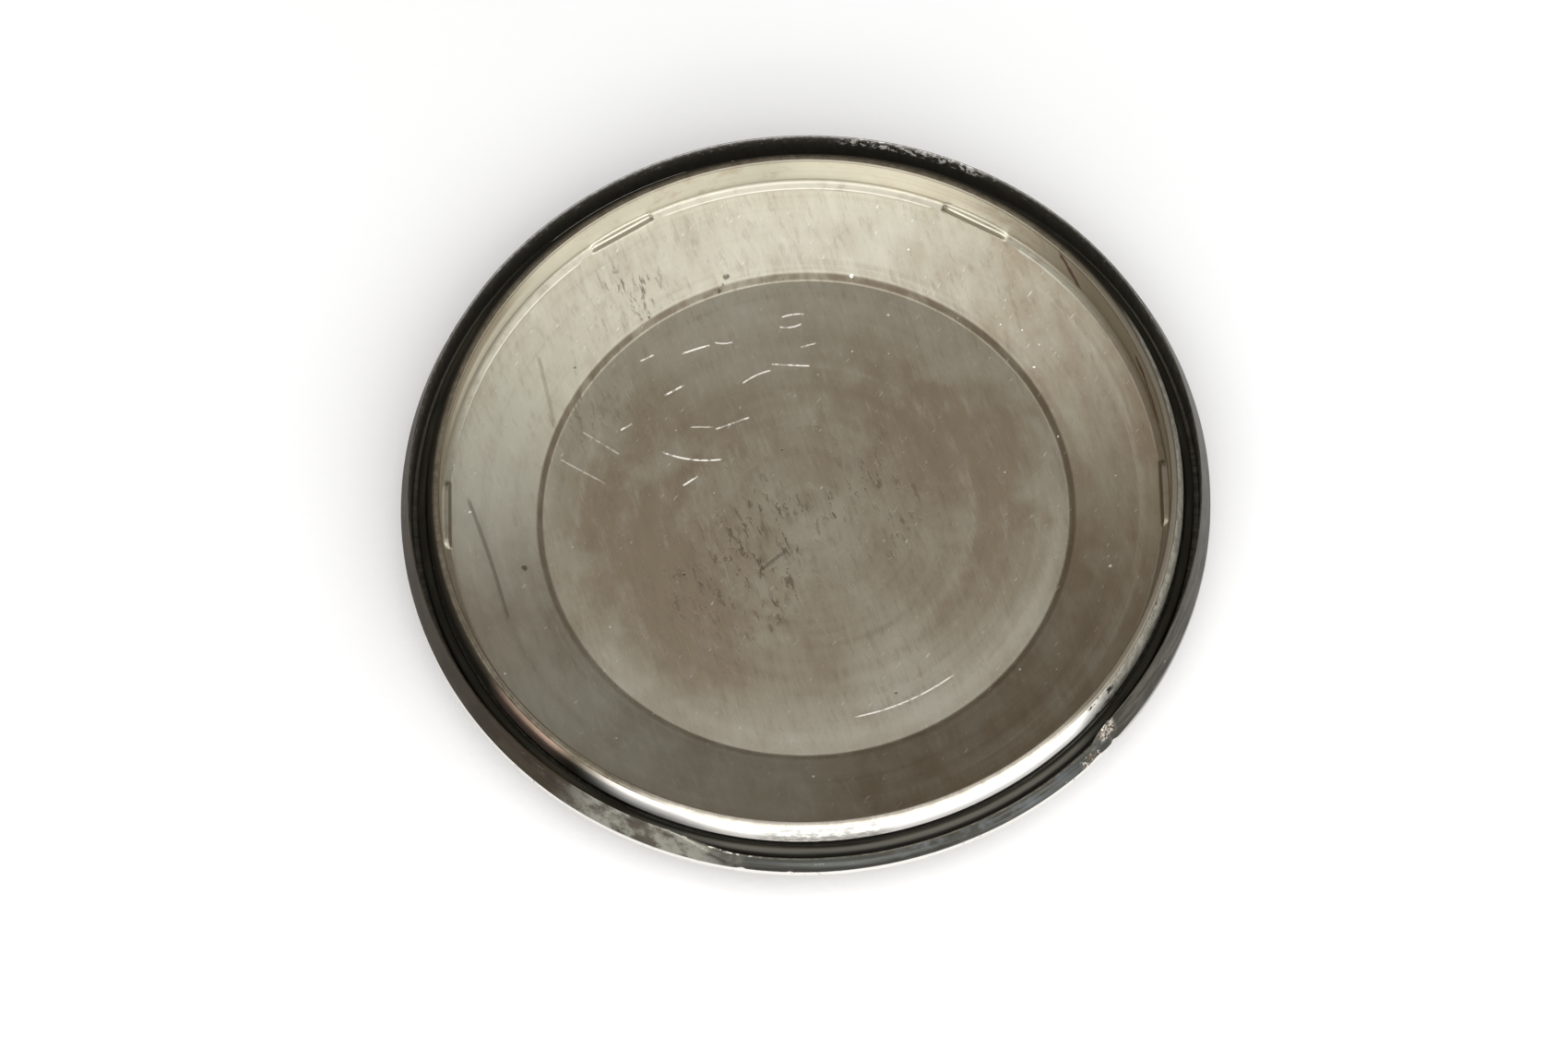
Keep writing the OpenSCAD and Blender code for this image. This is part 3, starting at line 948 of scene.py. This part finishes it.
def make_back():
    looks = {
        "floor": floor_steel(),
        "foot": foot_steel(),
        "wall": wall_steel(),
        "crest": crest_steel(),
        "lip": lip_steel(),
        "groove": groove_steel(),
        "ring": ring_steel(),
        "land": land_steel(),
        "outside": outside_steel(),
    }
    close = [(STOP_FIRST + k * 360 / STOP_COUNT + side * STOP_EDGE, 0.6)
             for k in range(STOP_COUNT) for side in (-1, 1)]
    close += [(314.0, 4.0), (258.2, 1.2), (265.0, 0.8), (150.5, 0.8)]

    def make(angle):
        return rounded(section(angle), (0.6, FLOOR_Z), (0.6, 0.0), 4)

    return lathe("case_back_worn", directions(400, close, 0.14), make, looks, (FLOOR_Z, 0.0))


def make_gasket():
    """A slightly uneven ring with rounded edges, inside its CAD box."""
    def make(angle):
        squeeze = 0.008 * (1 + wander(angle, 31, (3, 8, 14)))
        inner, outer = GASKET_R - GASKET_W + squeeze, GASKET_R - squeeze
        low, high = GROOVE_Z, GASKET_TOP - squeeze
        round_r = 0.13
        points = []
        corners = [
            (outer - round_r, high - round_r, 90),
            (outer - round_r, low + round_r, 0),
            (inner + round_r, low + round_r, -90),
            (inner + round_r, high - round_r, 180),
        ]
        for centre_r, centre_z, start in corners:
            for k in range(6):
                a = math.radians(start - 18 * k)
                points.append((centre_r + round_r * math.cos(a), centre_z + round_r * math.sin(a)))
        return points, ["rubber"] * len(points)

    return lathe("gasket_rubber", directions(400, [], 0.12), make, {"rubber": rubber()}, None)


back = make_back()
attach(back, "case_back")
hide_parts("case_back")

gasket = make_gasket()
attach(gasket, "gasket")
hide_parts("gasket")


# ---------------------------------------------------------------- floor, lights and camera

def make_floor():
    half = 1.5
    mesh = bpy.data.meshes.new("paper_floor")
    corners = [(-half, -half), (half, -half), (half, half), (-half, half)]
    mesh.from_pydata([(x, y, cad_low.z) for x, y in corners], [], [(0, 1, 2, 3)])
    mesh.materials.append(paper())
    piece = bpy.data.objects.new("paper_floor", mesh)
    bpy.context.scene.collection.objects.link(piece)


def softbox(name, place, aim, size, power, colour=(1.0, 1.0, 1.0)):
    """A rectangular softbox at place that faces aim. Lengths in metres, power in watts."""
    light = bpy.data.lights.new(name, "AREA")
    light.shape = "RECTANGLE"
    light.size, light.size_y = size
    light.energy = power
    light.color = colour
    lamp = bpy.data.objects.new(name, light)
    lamp.location = place
    lamp.rotation_euler = (Vector(aim) - Vector(place)).to_track_quat("-Z", "Y").to_euler()
    bpy.context.scene.collection.objects.link(lamp)


def radiance_power(radiance, size):
    """The watts that give an area light this radiance."""
    return radiance * math.pi * size[0] * size[1]


def light_scene():
    over = (2.0, 1.3)
    centre = Vector((0.45, -0.48, 0.6))
    softbox("softbox_over", centre, centre - Vector((0, 0, 1)), over, radiance_power(1.9, over))
    low = (0.30, 0.07)
    sides = [("left", -0.26, 5.6, (1.0, 0.90, 0.79)), ("right", 0.26, 5.2, (1.0, 0.96, 0.91))]
    for name, x, radiance, tint in sides:
        power = radiance_power(radiance, low)
        softbox(f"softbox_{name}", (x, -0.30, 0.04), (0, 0, 0.02), low, power, tint)
    front = (0.9, 0.34)
    softbox("softbox_front", (0, -0.56, 0.20), (0, 0, 0.0), front, radiance_power(1.7, front))
    world = bpy.data.worlds.new("studio")
    world.use_nodes = True
    world.node_tree.nodes["Background"].inputs["Color"].default_value = (1.0, 0.92, 0.80, 1.0)
    world.node_tree.nodes["Background"].inputs["Strength"].default_value = 0.20
    bpy.context.scene.world = world
    bpy.context.scene.view_settings.view_transform = "Standard"


def make_camera():
    """The photographer's view: from the -Y side, high above, with the frame turned slightly."""
    elevation, roll = math.radians(64.62), math.radians(-3.11)
    target = Vector((-0.949, -1.117, 2.4)) * MM
    distance = 350 * MM
    toward = Vector((0, -math.cos(elevation), math.sin(elevation)))
    right, up = Vector((1, 0, 0)), Vector((0, math.sin(elevation), math.cos(elevation)))
    tilted_right = right * math.cos(roll) + up * math.sin(roll)
    tilted_up = -right * math.sin(roll) + up * math.cos(roll)
    data = bpy.data.cameras.new("camera")
    data.sensor_width = 36
    data.lens = 191.7
    data.clip_start = 0.01
    camera = bpy.data.objects.new("camera", data)
    turn = Matrix((tilted_right, tilted_up, toward)).transposed()
    camera.matrix_world = Matrix.Translation(target + toward * distance) @ turn.to_4x4()
    bpy.context.scene.collection.objects.link(camera)
    bpy.context.scene.camera = camera


make_floor()
light_scene()
make_camera()
